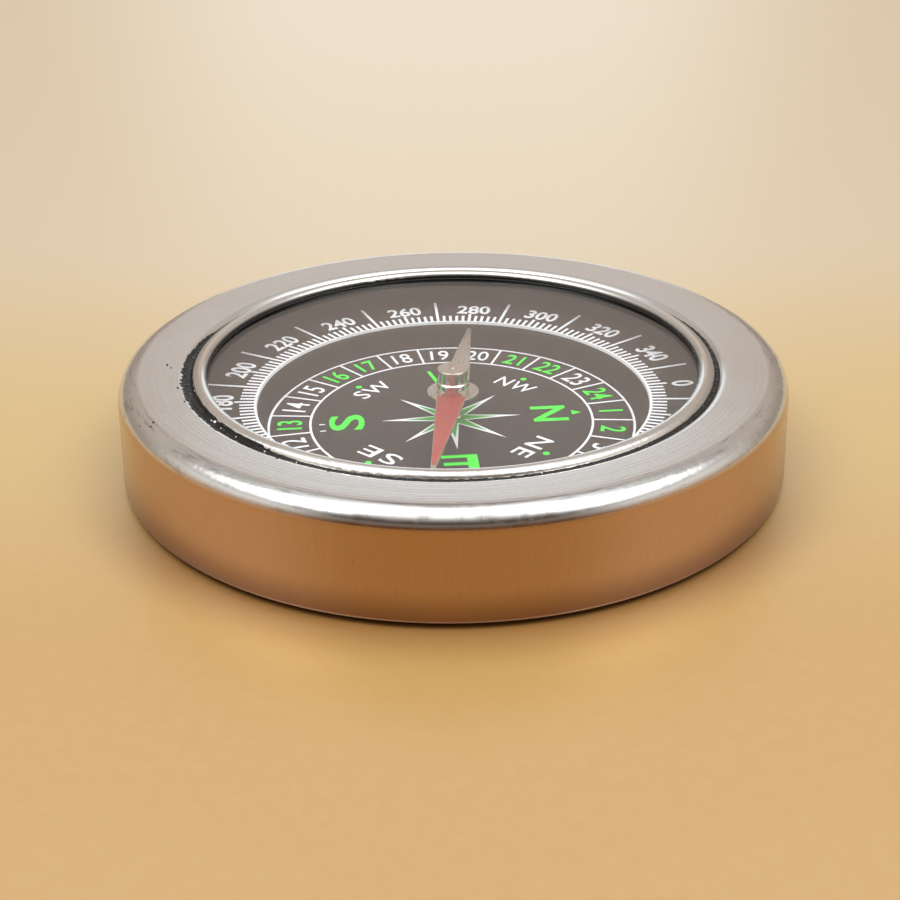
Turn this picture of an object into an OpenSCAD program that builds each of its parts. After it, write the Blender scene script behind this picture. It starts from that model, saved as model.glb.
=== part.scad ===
// Pocket compass in a pressed steel case: a dished dial under flat glass,
// and a magnetic needle that turns on a steel point.
// Millimetres, Z up. The origin is the middle of the flat foot that the case rests on.
// The needle is drawn where it points in use, and turns about the Z axis.

/* [Case] */
// Diameter of the case where its shoulder is widest
case_d = 75; // [60:0.5:100]
// Width of the rim, from the case's widest circle to the opening
rim_w = 7.8; // [6.5:0.1:9]
// Thickness of the steel sheet that the shell is pressed from
shell_t = 0.5; // [0.4:0.05:0.6]
// Radius of the rounded shoulder between the wall and the rim
shoulder_r = 2.3; // [1.8:0.1:2.8]
// Slope of the wall, which widens towards its foot, in degrees
wall_slope = 2.7; // [1:0.1:3.5]
// Slope of the rim, falling towards the opening, in degrees
rim_slope = 5.4; // [4:0.2:6]
// Radius of the edge that is drawn down round the opening
edge_r = 1.3; // [1:0.05:1.5]
// Radius of the corner at the wall's foot
foot_round_r = 0.55; // [0.5:0.05:0.8]
// How far the shell is turned in under the back cover, from the corner's centre
lip_turn_in = 2; // [1.4:0.1:2.6]
// Height of the turned-in lip's underside above the table
lip_lift = 0.4; // [0.3:0.05:0.6]

/* [Back cover] */
// Thickness of the back cover's sheet
back_t = 0.7; // [0.5:0.05:0.8]
// Gap between the turned-in lip's edge and the slope that leads down to the foot
foot_lip_gap = 1.3; // [0.3:0.1:4]
// Width of the slope round the foot
foot_slope_w = 1; // [0.8:0.1:1.4]
// Thickness of the gasket on the back cover
back_gasket_t = 0.5; // [0.4:0.05:0.6]

/* [Rings inside the case] */
// Least clearance between the shell and what is stacked inside it
stack_gap = 0.15; // [0.1:0.05:0.25]
// Width of the ring that carries the dial
support_w = 2; // [1.6:0.1:2.6]
// Width of the ring between the dial and the glass
spacer_w = 1.1; // [1:0.05:1.4]

/* [Glass and its ring] */
// Thickness of the glass
glass_t = 1; // [0.8:0.05:1.1]
// Clearance between the glass's edge and the inside of the shoulder
glass_edge_gap = 0.25; // [0.2:0.05:0.3]
// Least thickness of the gasket between the rim and the glass
glass_gasket_t = 0.2; // [0.15:0.01:0.25]
// How far the gasket stays inside the shoulder's centre line
gasket_set_in = 0.45; // [0.4:0.05:1]
// Width of the polished ring
bezel_w = 1.75; // [1.3:0.05:2]
// Height of the polished ring above its bed
bezel_h = 0.7; // [0.5:0.05:0.8]
// Least width of the groove between the polished ring and the shell
groove_w = 0.25; // [0.2:0.05:0.6]
// Thickness of the black sealant under the polished ring
bed_h = 0.2; // [0.1:0.01:0.25]
// Depth of the black sealant that fills the groove
groove_fill_h = 0.4; // [0.3:0.05:0.5]
// How far the sealant stays back from the polished ring's inner edge
bed_set_back = 0.05; // [0.03:0.01:0.1]
// Clearance between the sealant and the metal
seal_gap = 0.02; // [0.01:0.01:0.03]

/* [Dial] */
// Thickness of the dial's sheet
dial_t = 0.4; // [0.3:0.05:0.5]
// Width of the dial's flat rim, which is held between two rings
dial_rim_w = 4.2; // [3:0.1:5]
// Depth of the dish below the inner edge of the scale
dish_h = 3.1; // [2.8:0.1:3.3]
// Width of the steep wall round the dish, seen from above
dish_wall_w = 1.15; // [0.8:0.05:1.5]
// Width of the sloping band that carries the scale
scale_w = 10; // [9:0.1:11]
// How far the scale band rises from its inner to its outer edge
scale_rise = 0.35; // [0.1:0.05:0.5]

/* [Pivot] */
// Diameter of the pivot's flange on the dial
pivot_flange_d = 2.1; // [1.9:0.05:2.6]
// Thickness of that flange at its rim
pivot_flange_t = 0.3; // [0.2:0.05:0.4]
// Diameter of the pivot's post
post_d = 1.5; // [1.3:0.05:1.7]
// Gap between the post's top and the needle's hub
post_gap = 0.35; // [0.25:0.05:0.6]
// Diameter of the pivot's stem through the dial
stem_d = 1.3; // [1:0.05:1.4]
// Clearance round the stem
stem_gap = 0.05; // [0.03:0.01:0.08]
// Diameter of the washer under the dial
pivot_washer_d = 3.6; // [3:0.1:4.4]
// Thickness of the washer under the dial
pivot_washer_t = 0.3; // [0.2:0.05:0.4]
// Size of the nut across its flats
nut_af = 3; // [2.6:0.1:3.4]
// Height of the nut
nut_h = 1.2; // [1:0.05:1.4]
// Gap between the nut and the back cover
nut_gap = 0.4; // [0.3:0.05:0.6]
// Diameter of the steel pivot pin
pin_d = 0.6; // [0.5:0.05:0.7]
// Length of the pin's tapered point
pin_point_l = 1; // [0.8:0.05:1.2]
// How deep the pin is set in its post
pin_seat_l = 1.6; // [1.2:0.1:2]
// Clearance round the pin in its seat
pin_gap = 0.02; // [0.01:0.01:0.04]

/* [Needle] */
// Gap between the needle's tips and the edge of the dial's dish
needle_tip_gap = 2; // [1:0.1:4]
// Width of the blade where its two arms meet in the middle
blade_w = 3.7; // [3.2:0.1:4.2]
// Width of the blade at its tips
tip_w = 0.5; // [0.4:0.05:0.7]
// Thickness of the blade
blade_t = 0.3; // [0.2:0.05:0.35]
// Diameter of the round eye in the middle of the blade
eye_d = 6; // [5.4:0.1:6.6]
// Height of the blade's underside above the dial's floor
blade_lift = 3.15; // [3:0.05:3.4]
// Where the bare arm of the needle points, in degrees from +X towards +Y
needle_heading = 83.6; // [0:0.1:360]

/* [Needle hub and cap] */
// Diameter of the hub's bore, which clears the pin
hub_bore_d = 1.4; // [1.2:0.05:1.6]
// Wall of the hub's neck, which passes through the eye
neck_wall_t = 0.3; // [0.25:0.01:0.4]
// Width of the ledge in the hub that the jewel sits on
jewel_seat_w = 0.2; // [0.15:0.01:0.3]
// Wall of the spigot, which holds the jewel and carries the cap
spigot_wall_t = 0.32; // [0.25:0.01:0.4]
// Height of the spigot
spigot_h = 0.8; // [0.6:0.05:0.9]
// Height of the hub's barrel
barrel_h = 1.15; // [1:0.05:1.3]
// How far the hub stands out beyond the cap's side, in radius
hub_stand = 0.12; // [0.05:0.01:0.2]
// Height of the chamfer round the hub's top
hub_chamfer_h = 0.2; // [0.1:0.05:0.3]
// How far the cap's brim stands out, in radius
brim_stand = 0.06; // [0.03:0.01:0.1]
// Wall of the cap round the spigot
cap_wall_t = 0.47; // [0.35:0.01:0.55]
// Height of the cap's side below its brim
cap_side_h = 1.25; // [1.1:0.05:1.4]
// Thickness of the cap's brim
cap_brim_t = 0.21; // [0.15:0.01:0.3]
// Diameter of the centre mark turned in the cap
cap_mark_d = 0.3; // [0.2:0.05:0.5]
// Gap between the cap's top and the glass, in which the needle can rock
cap_gap = 0.65; // [0.4:0.05:1.2]
// Height of the jewel
jewel_h = 0.9; // [0.8:0.05:1]
// How far the mouth of the jewel's hollow stays inside the hub's bore
jewel_cup_set_in = 0.15; // [0.1:0.01:0.2]
// Depth of the jewel's hollow
jewel_cup_h = 0.65; // [0.6:0.01:0.7]
// Gap between the pin's point and the bottom of the hollow
pivot_play = 0.05; // [0.04:0.01:0.08]
// Clearance of what is pressed or set into the hub
hub_gap = 0.03; // [0.02:0.01:0.05]
// Width of the washer riveted under the eye
hub_washer_w = 0.97; // [0.8:0.01:1.2]
// Thickness of that washer
hub_washer_t = 0.25; // [0.2:0.05:0.3]
// Thickness of the neck's riveted end below the washer
rivet_t = 0.15; // [0.1:0.01:0.2]
// How far the riveted end spreads beyond the neck, in radius
rivet_spread = 0.25; // [0.15:0.05:0.35]

/* [Hidden] */
$fn = 128;

// Overrun of a cut past the face that it opens
over = 0.5;

// Shell: centres of its rounded shoulder, its drawn edge and its foot corner, seen from above
case_r = case_d / 2;
shoulder_cr = case_r - shoulder_r;
opening_r = case_r - rim_w;
edge_cr = opening_r + edge_r;
lip_top_z = lip_lift + shell_t;
foot_cz = lip_lift + foot_round_r;
stack_r = case_r - shell_t - stack_gap;

// Stack inside the shell, from the back cover up to the dial
back_floor_z = lip_top_z + back_t;
support_z = back_floor_z + back_gasket_t;
nut_z = back_t + nut_gap;
dial_under_z = nut_z + nut_h + pivot_washer_t;
dial_floor_z = dial_under_z + dial_t;
scale_out_r = stack_r - dial_rim_w;
scale_in_r = scale_out_r - scale_w;
dish_r = scale_in_r - dish_wall_w;
scale_in_z = dial_floor_z + dish_h;
dial_seat_z = scale_in_z + scale_rise;

// Needle, hub and cap, from the blade up
needle_l = 2 * (dish_r - needle_tip_gap);
needle_z = dial_floor_z + blade_lift;
blade_top_z = needle_z + blade_t;
hub_foot_z = needle_z - hub_washer_t - rivet_t;
hub_chamfer_z = blade_top_z + barrel_h;
cap_z = hub_chamfer_z + hub_chamfer_h;
cap_brim_z = cap_z + cap_side_h;
cap_top_z = cap_brim_z + cap_brim_t;
hub_bore_r = hub_bore_d / 2;
neck_r = hub_bore_r + neck_wall_t;
jewel_r = hub_bore_r + jewel_seat_w;
spigot_r = jewel_r + hub_gap + spigot_wall_t;
cap_r = spigot_r + hub_gap + cap_wall_t;
barrel_r = cap_r + hub_stand;
brim_r = cap_r + brim_stand;

// Pivot, under the needle
jewel_z = cap_z + spigot_h - jewel_h;
pin_tip_z = jewel_z + jewel_cup_h - pivot_play;
post_top_z = hub_foot_z - post_gap;
pin_foot_z = post_top_z - pin_seat_l;

// Glass over the cap, and the shoulder at the height that lays the rim on the glass
glass_z = cap_top_z + cap_gap;
glass_top_z = glass_z + glass_t;
rim_under_z = glass_top_z + glass_gasket_t;
shoulder_z = rim_under_z - (shoulder_r - shell_t) / cos(rim_slope)
    + (shoulder_cr - edge_cr) * tan(rim_slope);

// Height of the rim's outer face at a radius r, less a depth taken square to the face
function rim_z(r, depth = 0) =
    shoulder_z + (shoulder_r - depth) / cos(rim_slope) - (shoulder_cr - r) * tan(rim_slope);

// Radius of the wall's outer face at a height z, less a depth taken square to the face
function wall_x(z, depth = 0) =
    shoulder_cr + (shoulder_r - depth) / cos(wall_slope) + (shoulder_z - z) * tan(wall_slope);

// Radius of the rounded shoulder's inner face at a height z
function corner_x(z) = shoulder_cr + sqrt(pow(shoulder_r - shell_t, 2) - pow(z - shoulder_z, 2));

foot_cr = wall_x(foot_cz) - foot_round_r / cos(wall_slope);
lip_in_r = foot_cr - lip_turn_in;
foot_r = lip_in_r - foot_lip_gap - foot_slope_w;
cover_r = wall_x(back_floor_z, shell_t) - stack_gap;
glass_r = corner_x(glass_top_z) - glass_edge_gap;

// Polished ring on the glass
bezel_out_r = opening_r - groove_w;
bezel_in_r = bezel_out_r - bezel_w;
bezel_mid_r = bezel_out_r - bezel_w / 2;
bezel_z = glass_top_z + bed_h;
bezel_curve_r = (pow(bezel_w / 2, 2) + pow(bezel_h, 2)) / (2 * bezel_h);
bezel_curve_z = bezel_z + bezel_h - bezel_curve_r;

// A ring with a rectangular section
module ring(r_in, r_out, z, h) {
    translate([0, 0, z])
        difference() {
            cylinder(r = r_out, h = h);
            translate([0, 0, -over])
                cylinder(r = r_in, h = h + 2 * over);
        }
}

// Half section of the shell's outside, or of the space inside it when depth is its thickness
module shell_outline(depth, bottom_z, bottom_r) {
    rim_end_r = shoulder_cr - (shoulder_r - depth) * sin(rim_slope);
    wall_top_z = shoulder_z + (shoulder_r - depth) * sin(wall_slope);
    polygon([
        [0, bottom_z],
        [bottom_r, bottom_z],
        [wall_x(foot_cz, depth), foot_cz],
        [wall_x(wall_top_z, depth), wall_top_z],
        [shoulder_cr, shoulder_z],
        [rim_end_r, rim_z(rim_end_r, depth)],
        [0, rim_z(0, depth)]
    ]);
    translate([shoulder_cr, shoulder_z])
        circle(r = shoulder_r - depth);
}

// Half section of the edge that is drawn down round the opening, ending just above the glass
module drawn_edge() {
    edge_cz = rim_z(edge_cr, edge_r);
    difference() {
        translate([edge_cr, edge_cz])
            circle(r = edge_r, $fn = 64);
        translate([edge_cr, edge_cz])
            circle(r = edge_r - shell_t, $fn = 64);
        translate([edge_cr, edge_cz - edge_r - over])
            square([edge_r + over, 2 * (edge_r + over)]);
        translate([opening_r - over, edge_cz - edge_r - over])
            square([edge_r + 2 * over, glass_top_z + seal_gap - edge_cz + edge_r + over]);
    }
}

// Pressed shell in one piece: a wall that widens downwards, a rounded shoulder, a rim that
// falls to the opening with its edge drawn down, and a foot turned in under the back cover
module case_shell() {
    color("silver")
        rotate_extrude() {
            difference() {
                union() {
                    shell_outline(0, lip_lift, foot_cr);
                    translate([foot_cr, foot_cz])
                        circle(r = foot_round_r, $fn = 48);
                }
                shell_outline(shell_t, lip_top_z, wall_x(lip_top_z, shell_t));
                square([lip_in_r, shoulder_z]);
                square([edge_cr, rim_z(edge_cr) + over]);
            }
            drawn_edge();
        }
}

// Back cover: a pressed disc held by the turned-in lip, with its middle pressed down as the foot
module back_cover() {
    color("silver")
        rotate_extrude()
            polygon([
                [0, 0],
                [foot_r, 0],
                [foot_r + foot_slope_w, lip_top_z],
                [cover_r, lip_top_z],
                [cover_r, back_floor_z],
                [foot_r + foot_slope_w - back_t / 2, back_floor_z],
                [foot_r - back_t / 2, back_t],
                [0, back_t]
            ]);
}

// Flat rubber ring between the back cover and the ring above it
module back_gasket() {
    color("black")
        ring(stack_r - support_w, stack_r, back_floor_z, back_gasket_t);
}

// Moulded ring that carries the rim of the dial
module dial_support_ring() {
    color("dimgray")
        ring(stack_r - support_w, stack_r, support_z, dial_seat_z - dial_t - support_z);
}

// Dial: one sheet, dished in the middle, with a sloping band for the scale and a flat rim
// that is held between two rings. The pivot's stem passes through its middle.
module dial_plate() {
    color("dimgray")
        rotate_extrude()
            polygon([
                [stem_d / 2 + stem_gap, dial_under_z],
                [dish_r + dial_t / 2, dial_under_z],
                [scale_in_r + dial_t / 2, scale_in_z - dial_t],
                [scale_out_r, dial_seat_z - dial_t],
                [stack_r, dial_seat_z - dial_t],
                [stack_r, dial_seat_z],
                [scale_out_r, dial_seat_z],
                [scale_in_r, scale_in_z],
                [dish_r, dial_floor_z],
                [stem_d / 2 + stem_gap, dial_floor_z]
            ]);
}

// Dark ring between the dial's rim and the glass
module dial_spacer_ring() {
    color("black")
        ring(stack_r - spacer_w, stack_r, dial_seat_z, glass_z - dial_seat_z);
}

// Flat glass
module crystal() {
    color("lightcyan", 0.35)
        translate([0, 0, glass_z])
            cylinder(r = glass_r, h = glass_t);
}

// Rubber wedge that fills the space between the flat glass and the sloping rim
module crystal_gasket() {
    gasket_out_r = shoulder_cr - gasket_set_in;
    color("black")
        rotate_extrude()
            polygon([
                [edge_cr, glass_top_z],
                [gasket_out_r, glass_top_z],
                [gasket_out_r, rim_z(gasket_out_r, shell_t)],
                [edge_cr, rim_under_z]
            ]);
}

// Black sealant: a thin bed under the polished ring, and the filling of the groove round it
module sealant_bed() {
    bed_in_r = bezel_in_r + bed_set_back;
    color("black")
        rotate_extrude() {
            translate([bed_in_r, glass_top_z])
                square([opening_r - bed_in_r, bed_h]);
            difference() {
                translate([bezel_mid_r, glass_top_z])
                    square([edge_cr - bezel_mid_r, groove_fill_h]);
                translate([bezel_mid_r, bezel_curve_z])
                    circle(r = bezel_curve_r + seal_gap, $fn = 64);
                translate([edge_cr, rim_z(edge_cr, edge_r)])
                    circle(r = edge_r + seal_gap, $fn = 64);
            }
        }
}

// Polished ring with a rounded back, set in the sealant on the glass
module crystal_bezel() {
    color("gainsboro")
        rotate_extrude()
            intersection() {
                translate([bezel_mid_r, bezel_curve_z])
                    circle(r = bezel_curve_r, $fn = 64);
                translate([bezel_in_r, bezel_z])
                    square([bezel_w, bezel_h + over]);
            }
}

// Turned pivot: flange on the dial, post above it with a bore for the pin, stem through the dial
module pivot_base() {
    flange_r = pivot_flange_d / 2;
    post_r = post_d / 2;
    seat_r = pin_d / 2 + pin_gap;
    color("silver")
        rotate_extrude()
            polygon([
                [0, nut_z],
                [stem_d / 2, nut_z],
                [stem_d / 2, dial_floor_z],
                [flange_r, dial_floor_z],
                [flange_r, dial_floor_z + pivot_flange_t],
                [post_r, dial_floor_z + pivot_flange_t * 2],
                [post_r, post_top_z],
                [seat_r, post_top_z],
                [seat_r, pin_foot_z],
                [0, pin_foot_z]
            ]);
}

// Plain washer under the dial
module pivot_washer() {
    color("silver")
        ring(stem_d / 2 + stem_gap, pivot_washer_d / 2, dial_under_z - pivot_washer_t, pivot_washer_t);
}

// Nut on the stem, which clamps the dial
module pivot_nut() {
    color("gold")
        translate([0, 0, nut_z])
            difference() {
                cylinder(d = nut_af / cos(30), h = nut_h, $fn = 6);
                translate([0, 0, -over])
                    cylinder(d = stem_d + 2 * stem_gap, h = nut_h + 2 * over);
            }
}

// Hardened steel pin, ground to the point that the needle turns on
module pivot_pin() {
    color("lightslategray")
        rotate_extrude()
            polygon([
                [0, pin_foot_z],
                [pin_d / 2, pin_foot_z],
                [pin_d / 2, pin_tip_z - pin_point_l],
                [0, pin_tip_z]
            ]);
}

// Outline of the blade: a round eye and two straight-tapered arms with rounded tips
module blade_outline() {
    tip_r = tip_w / 2;
    tip_reach = needle_l / 2 - tip_r;
    circle(d = eye_d);
    polygon([
        [-tip_reach, -tip_r],
        [0, -blade_w / 2],
        [tip_reach, -tip_r],
        [tip_reach, tip_r],
        [0, blade_w / 2],
        [-tip_reach, tip_r]
    ]);
    for (side = [-1, 1])
        translate([side * tip_reach, 0])
            circle(r = tip_r, $fn = 32);
}

// Magnetised steel blade, cut from sheet
module needle_blade() {
    color("indianred")
        translate([0, 0, needle_z])
            rotate([0, 0, needle_heading])
                difference() {
                    linear_extrude(height = blade_t)
                        blade_outline();
                    translate([0, 0, -over])
                        cylinder(r = neck_r + hub_gap, h = blade_t + 2 * over);
                }
}

// Turned brass hub: its neck is riveted through the eye, and the jewel sits in its upper end
module needle_hub() {
    spigot_top_z = cap_z + spigot_h;
    color("silver")
        rotate_extrude()
            polygon([
                [hub_bore_r, hub_foot_z],
                [neck_r + rivet_spread, hub_foot_z],
                [neck_r + rivet_spread, hub_foot_z + rivet_t],
                [neck_r, hub_foot_z + rivet_t],
                [neck_r, blade_top_z],
                [barrel_r, blade_top_z],
                [barrel_r, hub_chamfer_z],
                [cap_r, cap_z],
                [spigot_r, cap_z],
                [spigot_r, spigot_top_z],
                [jewel_r + hub_gap, spigot_top_z],
                [jewel_r + hub_gap, jewel_z],
                [hub_bore_r, jewel_z]
            ]);
}

// Washer between the blade and the riveted end of the hub
module hub_washer() {
    washer_in_r = neck_r + hub_gap;
    color("gold")
        ring(washer_in_r, washer_in_r + hub_washer_w, needle_z - hub_washer_t, hub_washer_t);
}

// Hard jewel with a conical hollow that rests on the pin's point
module cap_jewel() {
    color("crimson")
        rotate_extrude()
            polygon([
                [hub_bore_r - jewel_cup_set_in, jewel_z],
                [jewel_r, jewel_z],
                [jewel_r, jewel_z + jewel_h],
                [0, jewel_z + jewel_h],
                [0, jewel_z + jewel_cup_h]
            ]);
}

// Polished cap pressed over the hub's spigot, with a rounded brim and a centre mark on top
module needle_cap() {
    brim_round_r = cap_brim_t / 2;
    brim_cr = brim_r - brim_round_r;
    color("silver")
        rotate_extrude()
            difference() {
                union() {
                    translate([0, cap_z])
                        square([cap_r, cap_side_h]);
                    translate([0, cap_brim_z])
                        square([brim_cr, cap_brim_t]);
                    translate([brim_cr, cap_brim_z + brim_round_r])
                        circle(r = brim_round_r, $fn = 32);
                }
                square([spigot_r + hub_gap, cap_z + spigot_h]);
                translate([0, cap_top_z])
                    circle(d = cap_mark_d, $fn = 32);
            }
}

case_shell();
back_cover();
back_gasket();
dial_support_ring();
dial_plate();
dial_spacer_ring();
crystal();
crystal_gasket();
sealant_bed();
crystal_bezel();
pivot_base();
pivot_washer();
pivot_nut();
pivot_pin();
needle_blade();
needle_hub();
hub_washer();
cap_jewel();
needle_cap();
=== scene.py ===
import math

import bmesh
import bpy
from mathutils import Matrix, Vector, noise
from mathutils.bvhtree import BVHTree


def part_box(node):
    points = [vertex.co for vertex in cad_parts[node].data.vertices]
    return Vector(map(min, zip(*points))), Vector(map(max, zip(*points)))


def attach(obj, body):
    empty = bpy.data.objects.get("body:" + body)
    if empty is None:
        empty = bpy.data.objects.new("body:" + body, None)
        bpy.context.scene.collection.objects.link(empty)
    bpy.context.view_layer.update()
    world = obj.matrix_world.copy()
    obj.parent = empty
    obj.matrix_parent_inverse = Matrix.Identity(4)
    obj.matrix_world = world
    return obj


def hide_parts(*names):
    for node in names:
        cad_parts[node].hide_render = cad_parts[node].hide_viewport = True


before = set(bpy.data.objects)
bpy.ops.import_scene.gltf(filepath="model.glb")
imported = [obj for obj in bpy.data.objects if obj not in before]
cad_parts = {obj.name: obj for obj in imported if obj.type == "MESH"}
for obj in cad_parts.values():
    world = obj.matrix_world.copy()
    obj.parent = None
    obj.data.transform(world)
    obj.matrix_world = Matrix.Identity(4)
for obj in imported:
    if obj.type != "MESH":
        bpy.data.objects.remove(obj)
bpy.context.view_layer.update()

# Dial: one thin sheet, pressed into a dish with a raised scale band and a flat rim.
# It is sprayed with an almost black lacquer, which has a fine orange peel and holds a little dust.
MM = 0.001
lacquer_colour = (0.017, 0.015, 0.0145, 1)
lacquer_thin = (0.026, 0.022, 0.02, 1)
dust_colour = (0.22, 0.21, 0.2, 1)
lacquer_cloud = 6 * MM
peel_size = 0.35 * MM
peel_depth = 0.004 * MM
speck_size = 0.5 * MM
speck_share = 0.035


def put(tree, kind, sockets=None, **settings):
    """Adds a node to a tree. A socket's value is a number, a colour or another node's output."""
    made = tree.nodes.new(kind)
    for name, value in settings.items():
        setattr(made, name, value)
    for name, value in (sockets or {}).items():
        if isinstance(value, bpy.types.NodeSocket):
            tree.links.new(value, made.inputs[name])
        else:
            made.inputs[name].default_value = value
    return made


def finish_called(name, sockets):
    """A material with one Principled shader, and the tree and shader to add detail to."""
    made = bpy.data.materials.new(name)
    made.use_nodes = True
    shader = made.node_tree.nodes["Principled BSDF"]
    for socket, value in sockets.items():
        shader.inputs[socket].default_value = value
    return made, made.node_tree, shader


def give(tree, shader, looks):
    """Links a shader's sockets to what varies over the surface."""
    for socket, value in looks.items():
        tree.links.new(value, shader.inputs[socket])


def group_called(name, inputs, outputs, kind="ShaderNodeTree"):
    """A node group with float, vector, colour or other inputs, given as name: (socket type, value)."""
    made = bpy.data.node_groups.new(name, kind)
    for socket, (socket_type, value) in inputs.items():
        item = made.interface.new_socket(socket, in_out="INPUT", socket_type=socket_type)
        if value is not None:
            item.default_value = value
    for socket, socket_type in outputs.items():
        made.interface.new_socket(socket, in_out="OUTPUT", socket_type=socket_type)
    return made, put(made, "NodeGroupInput").outputs, put(made, "NodeGroupOutput").inputs


def maths(tree, operation, first, second=0.0, third=0.0):
    """The output of a Math node."""
    return put(tree, "ShaderNodeMath", {0: first, 1: second, 2: third}, operation=operation).outputs[0]


def product(tree, first, second):
    """Two numbers multiplied, which is also where two masks meet."""
    return maths(tree, "MULTIPLY", first, second)


def between(tree, value, low, high, out_low=0.0, out_high=1.0, way="SMOOTHSTEP"):
    """Maps a value from one range to another, held at both ends."""
    sockets = {"Value": value, "From Min": low, "From Max": high, "To Min": out_low, "To Max": out_high}
    return put(tree, "ShaderNodeMapRange", sockets, interpolation_type=way).outputs[0]


def mixed(tree, factor, first, second):
    """The colour between two colours."""
    return put(tree, "ShaderNodeMix", {0: factor, 6: first, 7: second}, data_type="RGBA").outputs[2]


def place_on(tree):
    """Where a point lies on the object, in metres."""
    return put(tree, "ShaderNodeTexCoord").outputs["Object"]


def mottle(tree, where, size, detail, roughness=0.5):
    """A noise from 0 to 1, with patches of about a size."""
    sockets = {"Vector": where, "Scale": 1 / size, "Detail": detail, "Roughness": roughness}
    return put(tree, "ShaderNodeTexNoise", sockets).outputs["Fac"]


def bumped(tree, height, depth, under=None):
    """The normal of a surface that rises by up to a depth, over another normal where one is given."""
    sockets = {"Height": height, "Distance": depth}
    if under:
        sockets["Normal"] = under
    return put(tree, "ShaderNodeBump", sockets).outputs[0]


def dress(material, *names):
    """Gives CAD nodes their finish."""
    for name in names:
        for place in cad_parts[name].material_slots:
            place.material = material


# The specks are where a noise passes a high threshold, so they differ in size.
specks, given, wanted = group_called(
    "settled_specks",
    {"Size": ("NodeSocketFloat", speck_size), "Share": ("NodeSocketFloat", 0.1)},
    {"Mask": "NodeSocketFloat"})
fine = put(specks, "ShaderNodeTexNoise", {
    "Vector": place_on(specks), "Scale": maths(specks, "DIVIDE", 1.0, given["Size"]), "Detail": 2.0})
threshold = maths(specks, "SUBTRACT", 0.8, given["Share"])
mask = between(specks, fine.outputs["Fac"], threshold, maths(specks, "ADD", threshold, 0.04), way="LINEAR")
specks.links.new(mask, wanted["Mask"])


def settled(tree, size, share):
    """The mask of specks of about a size that cover a share of a surface."""
    return put(tree, "ShaderNodeGroup", {"Size": size, "Share": share}, node_tree=specks).outputs["Mask"]


lacquer, tree, shader = finish_called(
    "dial_lacquer", {"Roughness": 0.5, "IOR": 1.5, "Specular IOR Level": 0.12})
where = place_on(tree)
cloud = mottle(tree, where, lacquer_cloud, 3.0)
shade = mixed(tree, cloud, lacquer_colour, lacquer_thin)
give(tree, shader, {
    "Base Color": mixed(tree, settled(tree, speck_size, speck_share), shade, dust_colour),
    "Roughness": between(tree, cloud, 0.3, 0.7, 0.44, 0.56),
    "Normal": bumped(tree, mottle(tree, where, peel_size, 1.0), peel_depth)})
dress(lacquer, "dial_plate")

# Rings and dividers: white ink, screen printed on the lacquer. Two thin rings and 24 short bars
# make the cells, and a wide ring runs over the edge between the dish's wall and the scale band.
ink_t = 0.025 * MM
ink_sink = 0.02 * MM
ink_patch = 0.5 * MM
screen_gap = 0.12 * MM
screen_depth = 0.003 * MM
# Strength of the painted glow on the green ink.
painted_glow_strength = 0.16
dial_turn = math.radians(4.6)
cell_in_r = 16.42 * MM
cell_out_r = 21.2 * MM
cell_line_w = 0.27 * MM
cell_count = 24
base_line_in = 0.09 * MM
base_line_out = 0.22 * MM
band_mid_r = 28 * MM
band_fall = 0.26 * MM
probe_step = 0.01 * MM
ring_steps = 360
white_ink_colour = (0.88, 0.91, 0.96, 1)
white_ink_thin = (0.72, 0.74, 0.77, 1)
floor_shift = (-0.2 * MM, -0.1 * MM)


def ink(name, colour, thin_colour, painted_glow=None):
    """Screen ink: a flat colour, a little thinner and rougher in places. A painted glow, where given, makes
    the ink brighter than its colour alone.
    """
    made, tree, shader = finish_called(name, {"Roughness": 0.5, "Specular IOR Level": 0.2})
    if painted_glow:
        shader.inputs["Emission Color"].default_value = painted_glow
        shader.inputs["Emission Strength"].default_value = painted_glow_strength
    where = place_on(tree)
    cover = mottle(tree, where, ink_patch, 4.0)
    weave = mottle(tree, where, screen_gap, 1.0)
    thin = between(tree, cover, 0.52, 0.72, 0.0, 0.45)
    give(tree, shader, {
        "Base Color": mixed(tree, thin, colour, thin_colour),
        "Roughness": between(tree, cover, 0.3, 0.7, 0.42, 0.6),
        "Normal": bumped(tree, weave, screen_depth)})
    return made


white_ink = ink("white_ink", white_ink_colour, white_ink_thin)


def faces_of(thing):
    """An object's faces, to find heights on."""
    return BVHTree.FromObject(thing, bpy.context.evaluated_depsgraph_get())


dial_faces = faces_of(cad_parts["dial_plate"])
above_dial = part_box("crystal")[0].z
down = Vector((0, 0, -1))


def dial_z(x, y):
    """Height of the dial's face at a place, found straight below it."""
    return dial_faces.ray_cast(Vector((x, y, above_dial)), down)[0].z


def lay_on_dial(mesh):
    """Drops a flat print on the dial: each corner keeps its own small height above the lacquer."""
    for corner in mesh.vertices:
        corner.co.z += dial_z(corner.co.x, corner.co.y)
    mesh.update()


def in_scene(name, data):
    """An object at the origin that shows a mesh, curve or camera."""
    made = bpy.data.objects.new(name, data)
    bpy.context.scene.collection.objects.link(made)
    return made


def piece_called(name, mesh, material):
    """A mesh as a piece that rides on the case and takes a slot's finish."""
    mesh.name = name
    made = in_scene(name, mesh)
    mesh.materials.clear()
    mesh.materials.append(material)
    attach(made, "case")
    return made


def mesh_from(shape):
    """A mesh from a bmesh, with its normals pointing outwards."""
    bmesh.ops.recalc_face_normals(shape, faces=shape.faces)
    mesh = bpy.data.meshes.new("shape")
    shape.to_mesh(mesh)
    shape.free()
    return mesh


def close_round(shape, rows):
    """Faces between rows of corners that follow one another once round the axis."""
    for here, there in zip(rows, rows[1:] + rows[:1]):
        for k in range(len(here)):
            n = (k + 1) % len(here)
            shape.faces.new((here[k], here[n], there[n], there[k]))


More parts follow.
